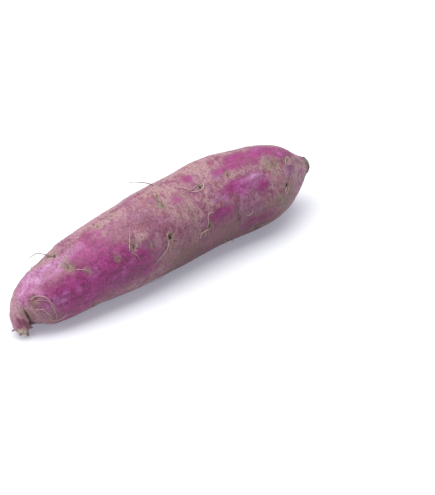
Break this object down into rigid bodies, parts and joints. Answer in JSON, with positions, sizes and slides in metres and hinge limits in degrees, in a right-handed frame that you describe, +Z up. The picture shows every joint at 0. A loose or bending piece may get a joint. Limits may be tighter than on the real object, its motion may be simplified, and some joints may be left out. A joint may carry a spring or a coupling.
{
  "type": "purple sweet potato",
  "caption": "Whole purple-skinned sweet potato, a long rounded tuber with a hooked root tail and a blunt stem end, lying on its side.",
  "frame": {"origin": "middle of the tuber's box seen from above, on the surface it lies on", "axes": "+Z up; +X along the tuber from its hooked root tail to its stem scar; -Y is the side that shows in the picture"},
  "size_m": [0.2454, 0.062, 0.0581],
  "materials": {
    "skin": "satin"
  },
  "bodies": {
    "root": {"tuber": "skin"}
  },
  "joints": []
}
